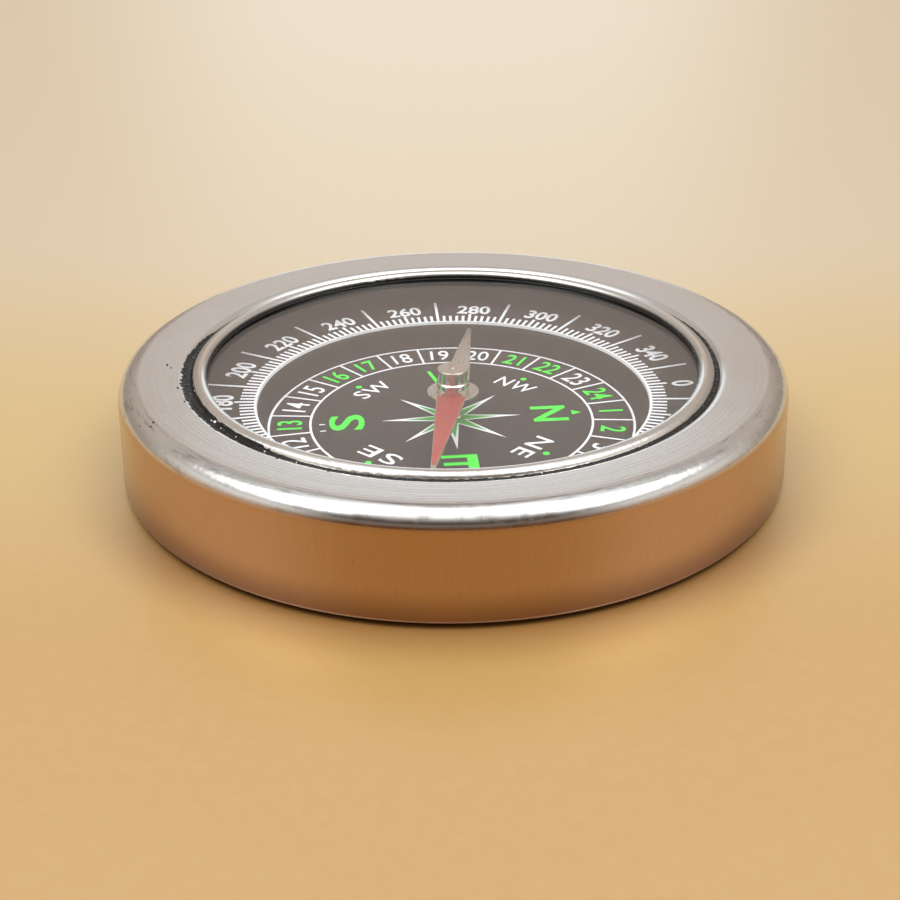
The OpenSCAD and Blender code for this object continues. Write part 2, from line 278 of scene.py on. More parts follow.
def turned(outlines, steps=ring_steps):
    """Closed outlines of (radius, height) turned round the Z axis, as one mesh."""
    shape = bmesh.new()
    for outline in outlines:
        rows = []
        for step in range(steps):
            angle = 2 * math.pi * step / steps
            rows.append([shape.verts.new((r * math.cos(angle), r * math.sin(angle), z)) for r, z in outline])
        close_round(shape, rows)
    return mesh_from(shape)


def flat_ring(radius, width):
    """The outline of a printed ring before it is laid on the dial."""
    low, high = radius - width / 2, radius + width / 2
    return [(low, -ink_sink), (high, -ink_sink), (high, ink_t), (low, ink_t)]


def on_floor(mesh):
    """Moves a print of the dial's floor to where the screen stood, a little out of register."""
    mesh.transform(Matrix.Translation((*floor_shift, 0)))
    lay_on_dial(mesh)


rings = turned([flat_ring(cell_in_r, cell_line_w), flat_ring(cell_out_r, cell_line_w)])
on_floor(rings)
piece_called("cell_rings", rings, white_ink)

# The dish's wall tops out where the dial's face first reaches the scale band, going outwards.
band_in_r = cell_out_r
while dial_z(band_in_r, 0) < dial_z(band_mid_r, 0) - band_fall:
    band_in_r += probe_step
band_in_z = dial_z(band_in_r + 2 * probe_step, 0)
line_out_r = band_in_r + base_line_out
wall_low_r = band_in_r - base_line_in
wall_low_z = dial_z(wall_low_r, 0)
edge_line = turned([[(wall_low_r + ink_sink, wall_low_z - ink_sink), (wall_low_r - ink_t, wall_low_z),
                     (band_in_r - ink_t, band_in_z + ink_t), (line_out_r, band_in_z + ink_t),
                     (line_out_r, band_in_z - ink_sink), (band_in_r + ink_sink, band_in_z - ink_sink)]])
piece_called("scale_base_line", edge_line, white_ink)

# Scale: 180 ticks of white ink, one for each two degrees, printed with the rings in one pass.
# Every fifth is longer: it either stands between two figures or points at the figure above it.
tick_count = 180
tick_w = 0.36 * MM
long_tick_r = 29.05 * MM
short_tick_r = 24.5 * MM
figure_tick_r = 25.1 * MM
bar_lengths = ("Length", "Length between", "Length at figures")
bar_sizes = ("Start", "Radius", *bar_lengths, "Width", "Thickness", "Sink")


def mesh_made_by(maker):
    """The mesh that an object makes, as a plain mesh. The object itself goes."""
    maker.update_tag()
    graph = bpy.context.evaluated_depsgraph_get()
    mesh = bpy.data.meshes.new_from_object(maker.evaluated_get(graph), depsgraph=graph)
    bpy.data.objects.remove(maker)
    return mesh


def grown(name, tree, values, settle):
    """Runs a geometry tree once, settles its result on the dial and makes it a piece of white ink."""
    seed = in_scene(name, bpy.data.meshes.new(name))
    modifier = seed.modifiers.new("grow", "NODES")
    modifier.node_group = tree
    for item in tree.interface.items_tree:
        if item.item_type == "SOCKET" and item.in_out == "INPUT" and item.name in values:
            modifier[item.identifier] = values[item.name]
    mesh = mesh_made_by(seed)
    settle(mesh)
    return piece_called(name, mesh, white_ink)


def bars_tree(name, length_of):
    """A tree of bars that point outwards from a circle. length_of picks a bar's length by its number."""
    inputs = {"Geometry": ("NodeSocketGeometry", None), "Count": ("NodeSocketInt", cell_count)}
    inputs.update({size: ("NodeSocketFloat", 0.0) for size in bar_sizes})
    inputs["Ink"] = ("NodeSocketMaterial", None)
    tree, given, wanted = group_called(name, inputs, {"Geometry": "NodeSocketGeometry"}, "GeometryNodeTree")
    number = put(tree, "GeometryNodeInputIndex").outputs[0]
    share = maths(tree, "DIVIDE", number, given["Count"])
    angle = maths(tree, "MULTIPLY_ADD", share, -2 * math.pi, given["Start"])
    place = put(tree, "ShaderNodeCombineXYZ", {
        "X": product(tree, maths(tree, "COSINE", angle), given["Radius"]),
        "Y": product(tree, maths(tree, "SINE", angle), given["Radius"]),
        "Z": product(tree, given["Sink"], -1.0)}).outputs[0]
    dots = put(tree, "GeometryNodePoints", {"Count": given["Count"], "Position": place}).outputs[0]
    block = put(tree, "GeometryNodeMeshCube", {"Size": (1, 1, 1)}).outputs["Mesh"]
    block = put(tree, "GeometryNodeTransform", {"Geometry": block, "Translation": (0.5, 0, 0.5)}).outputs[0]
    high = maths(tree, "ADD", given["Thickness"], given["Sink"])
    long = length_of(tree, given, number)
    size = put(tree, "ShaderNodeCombineXYZ", {"X": long, "Y": given["Width"], "Z": high}).outputs[0]
    turn = put(tree, "ShaderNodeCombineXYZ", {"Z": angle}).outputs[0]
    bars = put(tree, "GeometryNodeInstanceOnPoints", {"Points": dots, "Instance": block, "Rotation": turn,
                                                      "Scale": size}).outputs[0]
    real = put(tree, "GeometryNodeRealizeInstances", {"Geometry": bars}).outputs[0]
    inked = put(tree, "GeometryNodeSetMaterial", {"Geometry": real, "Material": given["Ink"]}).outputs[0]
    tree.links.new(inked, wanted["Geometry"])
    return tree


def switched(tree, condition, false, true):
    """A float that follows a condition."""
    sockets = {"Switch": condition, "False": false, "True": true}
    return put(tree, "GeometryNodeSwitch", sockets, input_type="FLOAT").outputs[0]


def scale_length(tree, given, number):
    """Every tenth bar ends under a figure, and every tenth from the fifth on stands between two."""
    tenth = maths(tree, "FLOORED_MODULO", number, 10.0)
    at_figure = maths(tree, "LESS_THAN", tenth, 0.5)
    at_half = maths(tree, "COMPARE", tenth, 5.0, 0.5)
    plain = switched(tree, at_figure, given["Length"], given["Length at figures"])
    return switched(tree, at_half, plain, given["Length between"])


scale_tree = bars_tree("scale_ticks", scale_length)
cell_tree = bars_tree("cell_dividers", lambda tree, given, number: given["Length"])
tick_in_r = band_in_r + base_line_out / 2
cell_step = 2 * math.pi / cell_count
printed = {"Thickness": ink_t, "Sink": ink_sink, "Ink": white_ink}
grown("scale_ticks", scale_tree, {
    "Count": tick_count, "Start": dial_turn, "Radius": tick_in_r, "Length": short_tick_r - tick_in_r,
    "Length between": long_tick_r - tick_in_r, "Length at figures": figure_tick_r - tick_in_r,
    "Width": tick_w, **printed}, lay_on_dial)
grown("cell_dividers", cell_tree, {
    "Count": cell_count, "Start": dial_turn + cell_step / 2, "Radius": cell_in_r,
    "Length": cell_out_r - cell_in_r, "Width": cell_line_w, **printed}, on_floor)

# Figures: white and green ink. The scale is numbered every twenty degrees, clockwise from north,
# and the cells carry plain numbers, some in green. All stand with their tops outwards.
figure_gap = 20
figure_h = 2.6 * MM
figure_w = 1.46 * MM
figure_r = 26.7 * MM
figure_bold = 0.022
figure_turn = dial_turn - math.radians(0.35)
figure_shift = (0.2 * MM, -0.18 * MM)
number_h = 2.9 * MM
number_w = 1.45 * MM
number_r = (cell_in_r + cell_out_r) / 2
number_bold = 0.006
green_cells = (0, 1, 3, 4, 8, 9, 12, 15, 16, 20, 21, 23)
# The green ink has a painted glow, which makes it brighter than the light on it.
green_ink = ink("green_ink", (0.035, 0.86, 0.035, 1), (0.03, 0.7, 0.03, 1), (0.03, 0.5, 0.02, 1))


def type_set(text, bold, spacing):
    """Text as a block one unit thick, about the middle of its letters, and its width and height."""
    curve = bpy.data.curves.new("lettering", "FONT")
    curve.body = text
    curve.offset = bold
    curve.space_character = spacing
    curve.resolution_u = 4
    curve.extrude = 0.5
    mesh = mesh_made_by(in_scene("lettering", curve))
    bpy.data.curves.remove(curve)
    xs = [v.co.x for v in mesh.vertices]
    ys = [v.co.y for v in mesh.vertices]
    mesh.transform(Matrix.Translation((-(max(xs) + min(xs)) / 2, -(max(ys) + min(ys)) / 2, 0.5)))
    return mesh, max(xs) - min(xs), max(ys) - min(ys)


def lettering(text, height, width, radius, angle, bold, spacing=1.0):
    """Text as a flat block of ink, top outwards, at an angle from +X. Each letter is width wide,
    and each figure as wide as a nought would be."""
    mesh, wide, high = type_set(text, bold, spacing)
    if text.isdigit():
        noughts, wide, high = type_set("0" * len(text), bold, spacing)
        bpy.data.meshes.remove(noughts)
    size = Matrix.Diagonal((width * len(text) / wide, height / high, ink_t + ink_sink, 1))
    place = Matrix.Rotation(angle, 4, "Z") @ Matrix.Translation((radius, 0, -ink_sink))
    mesh.transform(place @ Matrix.Rotation(-math.pi / 2, 4, "Z") @ size)
    return mesh


def joined(meshes):
    """Several meshes as one, with their doubled corners merged."""
    shape = bmesh.new()
    for mesh in meshes:
        shape.from_mesh(mesh)
        bpy.data.meshes.remove(mesh)
    bmesh.ops.remove_doubles(shape, verts=shape.verts, dist=0.0005 * MM)
    return mesh_from(shape)


def print_on_dial(name, meshes, material, shift=floor_shift):
    """Joins flat prints, lays them on the dial and makes them one piece."""
    mesh = joined(meshes)
    mesh.transform(Matrix.Translation((*shift, 0)))
    lay_on_dial(mesh)
    return piece_called(name, mesh, material)


print_on_dial("scale_figures", [
    lettering(str(degrees), figure_h, figure_w, figure_r, figure_turn - math.radians(degrees), figure_bold)
    for degrees in range(0, 360, figure_gap)], white_ink, figure_shift)
for colour, material, chosen in (("white", white_ink, False), ("green", green_ink, True)):
    print_on_dial("cell_numbers_" + colour, [
        lettering(str(k + 1), number_h, number_w, number_r, dial_turn - k * cell_step, number_bold)
        for k in range(cell_count) if (k in green_cells) == chosen], material)

# Points of the compass: bold green letters for the four winds, small white ones between them,
# a green dot over each small pair, a green arrow at north and two white dashes beside south.
# Each place is a letter, its compass direction in degrees and its radius in mm.
main_h = 4.1 * MM
main_w = 4.0 * MM
main_bold = 0.012
main_places = (("N", 0, 11.5), ("E", 90, 11.6), ("S", 180, 12.2), ("W", 270, 11.7))
small_h = 2.3 * MM
small_w = 2.6 * MM
small_bold = 0.004
small_spacing = 1.12
small_places = (("NE", 45, 11.8), ("SE", 135, 12.2), ("SW", 225, 12.6), ("NW", 315, 12.1))
dot_r = 0.38 * MM
dot_corners = 24
dot_places = ((46.5, 14.0), (134, 14.4), (223, 14.5), (314, 14.1))
arrow_in_r = 14.15 * MM
arrow_out_r = 15.25 * MM
arrow_w = 1.15 * MM
dash_in_r = 14.75 * MM
dash_out_r = 15.4 * MM
dash_w = 0.2 * MM
dash_angles = (-174.4, -167.9)


def plate(points):
    """A flat block of ink with an outline of (x, y) points."""
    shape = bmesh.new()
    low = [shape.verts.new((x, y, -ink_sink)) for x, y in points]
    high = [shape.verts.new((x, y, ink_t)) for x, y in points]
    shape.faces.new(low)
    shape.faces.new(high)
    for k in range(len(points)):
        n = (k + 1) % len(points)
        shape.faces.new((low[k], low[n], high[n], high[k]))
    return mesh_from(shape)


def polar(radius, angle, side=0.0):
    """The point at a radius and angle, and a step sideways from it."""
    across, up = math.cos(angle), math.sin(angle)
    return radius * across - side * up, radius * up + side * across


def compass_angle(degrees):
    """The angle from +X of a compass direction printed on the dial."""
    return dial_turn - math.radians(degrees)


green_marks = [lettering(text, main_h, main_w, r * MM, compass_angle(degrees), main_bold)
               for text, degrees, r in main_places]
for degrees, r in dot_places:
    x, y = polar(r * MM, compass_angle(degrees))
    angles = [2 * math.pi * k / dot_corners for k in range(dot_corners)]
    green_marks.append(plate([(x + dot_r * math.cos(a), y + dot_r * math.sin(a)) for a in angles]))
green_marks.append(plate([polar(arrow_in_r, dial_turn, -arrow_w / 2), polar(arrow_out_r, dial_turn),
                          polar(arrow_in_r, dial_turn, arrow_w / 2)]))
print_on_dial("green_letters", green_marks, green_ink)
white_marks = [lettering(text, small_h, small_w, r * MM, compass_angle(degrees), small_bold, small_spacing)
               for text, degrees, r in small_places]
for degrees in dash_angles:
    a = math.radians(degrees)
    white_marks.append(plate([polar(dash_in_r, a, -dash_w / 2), polar(dash_out_r, a, -dash_w / 2),
                              polar(dash_out_r, a, dash_w / 2), polar(dash_in_r, a, dash_w / 2)]))
print_on_dial("white_letters", white_marks, white_ink)

# Star: eight thin white points round the pivot, with a darker green star printed over their roots.
# Both inks are flat and a little uneven at their edges.
star_points = 8
star_tip_r = 8.1 * MM
star_notch_r = 1.85 * MM
green_tip_r = 5.3 * MM
green_notch_r = 1.5 * MM
over_print_t = 0.02 * MM
star_ink = ink("star_green_ink", (0.02, 0.42, 0.02, 1), (0.06, 0.46, 0.05, 1))


def star_outline(tip_r, notch_r):
    """Points and notches in turn, starting at the north point."""
    half = math.pi / star_points
    return [polar(tip_r if k % 2 == 0 else notch_r, dial_turn + k * half) for k in range(2 * star_points)]


print_on_dial("star_white", [plate(star_outline(star_tip_r, star_notch_r))], white_ink)
star_green = plate(star_outline(green_tip_r, green_notch_r))
star_green.transform(Matrix.Translation((0, 0, over_print_t)))
print_on_dial("star_green", [star_green], star_ink)

# Pivot: a turned brass post on a flange, nickel plated, with a nut and washer that clamp it through
# the dial, and a ground steel pin pressed in its top. The jewel in the needle's hub turns on its point.
nickel_colour = (0.66, 0.62, 0.56, 1)
nickel_tarnish = (0.5, 0.45, 0.38, 1)
brass_colour = (0.68, 0.46, 0.19, 1)
brass_tarnish = (0.35, 0.2, 0.08, 1)
pin_colour = (0.55, 0.55, 0.57, 1)
washer_colour = (0.55, 0.54, 0.52, 1)
tarnish_patch = 1.2 * MM
lathe_depth = 0.0006 * MM
hub_edge = 0.1 * MM
hub_lip = (7.55 * MM, 7.85 * MM, 0.12 * MM)
cap_edge = 0.14 * MM
cap_nub = 0.12 * MM
nub_r = 0.3 * MM
ruby_cloud = 0.4 * MM


def scaled(tree, vector, factors):
    """A vector multiplied by three factors."""
    return put(tree, "ShaderNodeVectorMath", {0: vector, 1: factors}, operation="MULTIPLY").outputs[0]


def parts_of(tree, vector):
    """A vector's X, Y and Z."""
    return put(tree, "ShaderNodeSeparateXYZ", {0: vector}).outputs


# The radius and the direction from the axis let a pattern run round a turned piece. A step of one in
# Turned is a millimetre along the radius and the height, and about a sixth of a turn round.
round_axis, given, wanted = group_called(
    "round_the_axis", {}, {"Radius": "NodeSocketFloat", "Turned": "NodeSocketVector"})
where = place_on(round_axis)
flat = scaled(round_axis, where, (1, 1, 0))
radius = put(round_axis, "ShaderNodeVectorMath", {0: flat}, operation="LENGTH").outputs["Value"]
aim = put(round_axis, "ShaderNodeVectorMath", {0: flat}, operation="NORMALIZE").outputs[0]
split = parts_of(round_axis, aim)
reach = maths(round_axis, "ADD", radius, parts_of(round_axis, where)["Z"])
reach = maths(round_axis, "MULTIPLY_ADD", reach, 1 / MM, 0.0)
laid_out = put(round_axis, "ShaderNodeCombineXYZ", {"X": reach, "Y": split["X"], "Z": split["Y"]}).outputs[0]
round_axis.links.new(radius, wanted["Radius"])
round_axis.links.new(laid_out, wanted["Turned"])


def round_of(tree):
    """Radius and Turned, for a material."""
    return put(tree, "ShaderNodeGroup", node_tree=round_axis).outputs


def turned_metal(name, colour, roughness, ring_gap=0.08, tarnish=nickel_tarnish, edge=0.03 * MM,
                 nub=0.0, lip=None):
    """Metal off a lathe: edges broken by the burnisher, rings round the axis a gap in mm apart, and tarnish
    in patches. A nub is the point left by a centre, and a lip a shoulder of a depth between two heights."""
    made, tree, shader = finish_called(name, {"Metallic": 1.0, "Roughness": roughness})
    around = round_of(tree)
    where = place_on(tree)
    rings = mottle(tree, scaled(tree, around["Turned"], (1 / ring_gap, 1.5, 1.5)), 1.0, 3.0)
    patch = mottle(tree, where, tarnish_patch, 4.0)
    rough = maths(tree, "ADD", between(tree, rings, 0.3, 0.7, -0.04, 0.05), roughness)
    rough = maths(tree, "ADD", rough, between(tree, patch, 0.5, 0.8, 0.0, 0.08))
    broken = put(tree, "ShaderNodeBevel", {"Radius": edge}, samples=6).outputs[0]
    bump = bumped(tree, rings, lathe_depth, broken)
    if nub:
        bump = bumped(tree, between(tree, around["Radius"], nub_r, 0.0), nub, bump)
    if lip:
        low, high, depth = lip
        rolled = between(tree, parts_of(tree, where)["Z"], low, high, 1.0, 0.0, "LINEAR")
        bump = bumped(tree, rolled, depth, bump)
    shade = mixed(tree, between(tree, patch, 0.5, 0.8, 0.0, 0.35), colour, tarnish)
    give(tree, shader, {"Base Color": shade, "Roughness": rough, "Normal": bump})
    return made


dress(turned_metal("nickel_plate", nickel_colour, 0.1, edge=hub_edge, lip=hub_lip),
      "pivot_base", "needle_hub")
dress(turned_metal("cap_nickel", nickel_colour, 0.12, edge=cap_edge, nub=cap_nub), "needle_cap")
dress(turned_metal("bare_brass", brass_colour, 0.3, tarnish=brass_tarnish), "pivot_nut", "hub_washer")
dress(turned_metal("ground_pin", pin_colour, 0.18, 0.03), "pivot_pin")
dress(turned_metal("pressed_washer", washer_colour, 0.32, 0.12), "pivot_washer")

ruby, tree, shader = finish_called("synthetic_ruby", {"Roughness": 0.08, "IOR": 1.76, "Coat Weight": 0.3})
cloud = mottle(tree, place_on(tree), ruby_cloud, 2.0)
give(tree, shader, {"Base Color": mixed(tree, cloud, (0.42, 0.02, 0.06, 1), (0.6, 0.05, 0.12, 1))})
dress(ruby, "cap_jewel")

# Needle: strip steel, stamped out and polished, with one arm dipped in red lacquer.
# The lacquer stops at the eye and short of the tip, and is worn thin along the edges.
needle_heading = math.radians(83.6)
needle_steel_colour = (0.55, 0.5, 0.44, 1)
needle_steel_dull = (0.45, 0.39, 0.33, 1)
needle_red = (0.27, 0.022, 0.014, 1)
needle_red_pale = (0.35, 0.048, 0.033, 1)
pale_start = 2 * MM
pale_end = 15 * MM
red_start = 1.5 * MM
red_end = 18.7 * MM
red_fade = 0.1 * MM
arm_half_w = 1.85 * MM
tip_half_w = 0.25 * MM
arm_l = 19.5 * MM
bare_edge = 0.05 * MM
edge_wander = 0.05 * MM
wander_size = 0.3 * MM
blade_grain = 0.12 * MM
blade_cloud = 2 * MM
blade_edge = 0.08 * MM
coat_t = 0.01 * MM


def blended(tree, share, first, second):
    """The number between two numbers."""
    return put(tree, "ShaderNodeMix", {0: share, 2: first, 3: second}, data_type="FLOAT").outputs[0]


blade, tree, shader = finish_called("needle_finish", {"Metallic": 1.0, "Roughness": 0.3})
where = place_on(tree)
along = put(tree, "ShaderNodeMapping", {"Vector": where, "Rotation": (0, 0, -needle_heading)}).outputs[0]
split = parts_of(tree, along)
reach = product(tree, split["X"], -1.0)
half_w = between(tree, reach, 0.0, arm_l, arm_half_w, tip_half_w, "LINEAR")
inside = maths(tree, "SUBTRACT", maths(tree, "SUBTRACT", half_w, bare_edge),
                   maths(tree, "ABSOLUTE", split["Y"]))
face_up = parts_of(tree, put(tree, "ShaderNodeNewGeometry").outputs["Normal"])["Z"]
ragged = between(tree, mottle(tree, where, wander_size, 3.0), 0.3, 0.7, -edge_wander, edge_wander)
ragged_reach = maths(tree, "ADD", reach, ragged)
lacquered = between(tree, maths(tree, "ADD", inside, ragged), 0.0, bare_edge)
for mask in (between(tree, ragged_reach, red_start - red_fade, red_start + red_fade),
             between(tree, ragged_reach, red_end + red_fade, red_end - red_fade),
             between(tree, face_up, 0.3, 0.6)):
    lacquered = product(tree, lacquered, mask)
grain = mottle(tree, scaled(tree, along, (0.08, 1, 1)), blade_grain, 3.0)
cloud = mottle(tree, where, blade_cloud, 4.0)
paler = product(tree, between(tree, reach, pale_start, pale_end, 0.15, 0.75),
                between(tree, cloud, 0.3, 0.7, 0.7, 1.1))
steel = mixed(tree, between(tree, cloud, 0.4, 0.75, 0.0, 0.4), needle_steel_colour, needle_steel_dull)
red = mixed(tree, paler, needle_red, needle_red_pale)
rough_steel = between(tree, grain, 0.3, 0.7, 0.26, 0.4)
rough_red = between(tree, cloud, 0.3, 0.7, 0.28, 0.4)
coat = maths(tree, "MULTIPLY_ADD", grain, 0.03, lacquered)
broken = put(tree, "ShaderNodeBevel", {"Radius": blade_edge}, samples=6).outputs[0]
give(tree, shader, {
    "Base Color": mixed(tree, lacquered, steel, red),
    "Metallic": maths(tree, "SUBTRACT", 1.0, lacquered),
    "Roughness": blended(tree, lacquered, rough_steel, rough_red),
    "Normal": bumped(tree, coat, coat_t, broken)})
dress(blade, "needle_blade")

# Rings round the dial: two moulded rings of matt black plastic. The upper one shows under the glass
# as a dark wall round the scale, and a little swarf and dust lies in its corner.
moulding_skin = 0.15 * MM
moulding_depth = 0.008 * MM
corner_dust = 0.4 * MM

ring_plastic, tree, shader = finish_called("ring_plastic", {"Roughness": 0.6})
skin = mottle(tree, place_on(tree), moulding_skin, 3.0)
shade = mixed(tree, skin, (0.008, 0.007, 0.007, 1), (0.016, 0.013, 0.012, 1))
give(tree, shader, {
    "Base Color": mixed(tree, settled(tree, corner_dust, 0.06), shade, dust_colour),
    "Roughness": between(tree, skin, 0.3, 0.7, 0.5, 0.7),
    "Normal": bumped(tree, skin, moulding_depth)})
dress(ring_plastic, "dial_support_ring", "dial_spacer_ring")

# Glass: a flat disc of clear window glass with a ground edge, pressed against a rubber wedge.
# Light passes it unshaded on its way to the dial, and it mirrors the room as one sheet.
glass_ior = 1.52
glass_film = 9 * MM
rubber_bloom = 1.5 * MM
white = (1, 1, 1, 1)

glass, tree, shader = finish_called(
    "clear_glass", {"Roughness": 0.0, "IOR": glass_ior, "Transmission Weight": 1.0, "Base Color": white})
film = mottle(tree, place_on(tree), glass_film, 5.0)
give(tree, shader, {"Base Color": mixed(tree, film, white, (0.985, 0.99, 0.985, 1))})
path = put(tree, "ShaderNodeLightPath").outputs
light_way = maths(tree, "MAXIMUM", path["Is Shadow Ray"], path["Is Diffuse Ray"])
clear = put(tree, "ShaderNodeBsdfTransparent", {"Color": white}).outputs[0]
passed = put(tree, "ShaderNodeMixShader", {0: light_way, 1: shader.outputs[0], 2: clear}).outputs[0]
give(tree, tree.nodes["Material Output"], {"Surface": passed})
dress(glass, "crystal")

rubber, tree, shader = finish_called("moulded_rubber", {"Roughness": 0.55})
bloom = mottle(tree, place_on(tree), rubber_bloom, 5.0)
give(tree, shader, {
    "Base Color": mixed(tree, bloom, (0.012, 0.012, 0.012, 1), (0.035, 0.034, 0.033, 1)),
    "Roughness": between(tree, bloom, 0.3, 0.7, 0.45, 0.65)})
dress(rubber, "crystal_gasket", "back_gasket")

# Case shell: one disc of stainless steel, drawn into a low cup with a rounded shoulder and an opening
# in its top. The rim is satin from a polishing wheel, the shoulder bright and scored, and the wall
# finely brushed. The wall's warm brown is a painted reflection of the table, and it darkens towards its foot
# as painted shade.
steel_colour = (0.7, 0.69, 0.67, 1)
steel_worn = (0.76, 0.75, 0.73, 1)
steel_scored = (0.36, 0.35, 0.34, 1)
# The wall's warm brown is a painted reflection of the table. The darker colour marks real brushing streaks,
# and towards the foot it is painted shade.
wall_painted_reflection = (0.52, 0.33, 0.2, 1)
steel_pitted = (0.12, 0.1, 0.09, 1)
wall_streak_and_painted_shade = (0.24, 0.14, 0.085, 1)
foot_shade_top_z = 4.5 * MM
foot_shade_low_z = 0.6 * MM
rim_out_r = 34.9 * MM
rim_fade = 0.5 * MM
shoulder_z = 9.7 * MM
reflection_tint_high_z = shoulder_z + 1.3 * MM
reflection_tint_full_z = shoulder_z + 0.4 * MM
wheel_gap = 0.16
spun_gap = 0.9 * MM
spun_depth = 0.012 * MM
grain_depth = 0.002 * MM
brush_w = 0.11 * MM
brush_l = 9 * MM
wear_size = 1.1 * MM
cloud_size = 12 * MM
pit_size = 0.9 * MM
dent_depth = 0.03 * MM
shell_t = 0.5 * MM
wall_foot = (37.915 * MM, 0.95 * MM)
foot_step = 0.05 * MM
shoulder_mid = (35.2 * MM, 9.7 * MM)
shoulder_r = 2.3 * MM
foot_round_r = 0.55 * MM
lip_in_r = 35.365 * MM
opening_r = 29.7 * MM
edge_round_r = 1.3 * MM
edge_top_z = 11.61 * MM
edge_cut_z = 10.93 * MM
rim_lean = 5.1
wall_lean = 2.7
shell_steps = 480
sharp_angle = math.radians(35)


def arc(middle, radius, start, end, steps):
    """Points along a round stretch of an outline, with its angles in degrees from outwards."""
    angles = [math.radians(start + (end - start) * k / steps) for k in range(steps + 1)]
    return [(middle[0] + radius * math.cos(a), middle[1] + radius * math.sin(a)) for a in angles]


def cut_angle(radius):
    """Where a round of the shell's edge is cut off level, in degrees from outwards."""
    return 180 - math.degrees(math.asin((edge_cut_z - edge_mid[1]) / radius))


edge_mid = (opening_r + edge_round_r, edge_top_z - edge_round_r)
edge_in_r = edge_round_r - shell_t
outside = (arc((wall_foot[0] - foot_round_r, wall_foot[1]), foot_round_r, -90, wall_lean, 16)
           + arc(shoulder_mid, shoulder_r, wall_lean, 90 + rim_lean, 40)
           + arc(edge_mid, edge_round_r, 90 + rim_lean, cut_angle(edge_round_r), 20))
inside = (arc(edge_mid, edge_in_r, cut_angle(edge_in_r), 90 + rim_lean, 12)
          + arc(shoulder_mid, shoulder_r - shell_t, 90 + rim_lean, wall_lean, 24)
          + [(wall_foot[0] - shell_t, wall_foot[1] - foot_step), (lip_in_r, wall_foot[1] - foot_step),
             (lip_in_r, wall_foot[1] - foot_round_r)])

case_steel, tree, shader = finish_called("case_steel", {"Metallic": 1.0, "Roughness": 0.25})
where = place_on(tree)
around = round_of(tree)
height = parts_of(tree, where)["Z"]
on_top = between(tree, around["Radius"], rim_out_r + rim_fade, rim_out_r)
off_top = maths(tree, "SUBTRACT", 1.0, on_top)
on_wall = between(tree, height, reflection_tint_high_z, reflection_tint_full_z)
wheel = mottle(tree, scaled(tree, around["Turned"], (1 / wheel_gap, 2.2, 2.2)), 1.0, 4.0)
brush = mottle(tree, scaled(tree, where, (1 / brush_w, 1 / brush_w, 1 / brush_l)), 1.0, 4.0)
wear = mottle(tree, where, wear_size, 6.0, 0.62)
cloud = mottle(tree, where, cloud_size, 3.0)
scored = mottle(tree, scaled(tree, around["Turned"], (4, 9, 9)), 1.0, 6.0, 0.7)
worn = product(tree, between(tree, wear, 0.5, 0.75), 0.5)
shade = mixed(tree, worn, steel_colour, steel_worn)
shade = mixed(tree, product(tree, off_top, between(tree, scored, 0.52, 0.66, 0.0, 0.7)), shade, steel_scored)
# Painted reflection and painted shade: the wall takes a warm brown tint with real darker brush streaks, and
# is painted darker towards its foot.
wall_streaks_and_painted_light = mixed(tree, between(tree, brush, 0.45, 0.8, 0.0, 0.14), wall_painted_reflection, wall_streak_and_painted_shade)
wall_streaks_and_painted_light = mixed(tree, between(tree, height, foot_shade_top_z, foot_shade_low_z, 0.0, 0.6), wall_streaks_and_painted_light, wall_streak_and_painted_shade)
shade = mixed(tree, on_wall, shade, wall_streaks_and_painted_light)
rough_top = between(tree, wheel, 0.3, 0.7, 0.19, 0.25)
rough_edge = between(tree, wear, 0.4, 0.7, 0.08, 0.2)
rough_wall = between(tree, brush, 0.3, 0.7, 0.12, 0.22)
rough = blended(tree, on_wall, blended(tree, on_top, rough_edge, rough_top), rough_wall)
rough = maths(tree, "ADD", rough, between(tree, cloud, 0.35, 0.65, -0.03, 0.03))
spun = put(tree, "ShaderNodeTexNoise", {
    "W": maths(tree, "DIVIDE", around["Radius"], spun_gap), "Detail": 1.0}, noise_dimensions="1D")
bump = bumped(tree, product(tree, spun.outputs["Fac"], on_top), spun_depth)
grain = product(tree, blended(tree, on_wall, wheel, brush), between(tree, on_top, 0.0, 1.0, 1.0, 0.45))
bump = bumped(tree, grain, grain_depth, bump)
# The shoulder has small dents from handling, all round but for a smooth stretch in front.
handled = product(tree, between(tree, parts_of(tree, around["Turned"])["Z"], -0.96, -0.86), off_top)
bump = bumped(tree, product(tree, wear, handled), dent_depth, bump)
give(tree, shader, {
    "Base Color": mixed(tree, settled(tree, pit_size, 0.03), shade, steel_pitted),
    "Roughness": rough, "Normal": bump})
drawn = turned([outside + inside], shell_steps)
drawn.shade_smooth()
drawn.set_sharp_from_angle(angle=sharp_angle)
drawn_case = piece_called("drawn_case", drawn, case_steel)
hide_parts("case_shell")

# Polished ring: bent from half-round steel wire, pressed on the glass in a bed of black sealant,
# which squeezes out round it. On the left it has crept over the edge of the rim and dried ragged.
ring_bright = (0.72, 0.7, 0.66, 1)
ring_dull = (0.55, 0.52, 0.48, 1)
# Colour of the ring's inner foot, a painted dark reflection.
painted_dark_flank_colour = (0.006, 0.006, 0.006, 1)
ring_line_gap = 0.1
ring_line_depth = 0.0015 * MM
ring_dent_size = 0.7 * MM
ring_dent_depth = 0.05 * MM
bezel_out_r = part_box("crystal_bezel")[1].x
bezel_in_r = 27.7 * MM
glass_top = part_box("crystal")[1].z
crust_size = 0.35 * MM
crust_depth = 0.04 * MM
grit_size = 0.25 * MM
seal_steps = 1800
seal_in_r = 27.64 * MM
seal_foot_r = 27.8 * MM
seal_bed_h = 0.19 * MM
seal_fill_h = 0.24 * MM
seal_climb_r = 29.2 * MM
seal_climb_z = 11.55 * MM
seal_step = 0.1 * MM
seal_close = 0.02 * MM
film_t = 0.04 * MM
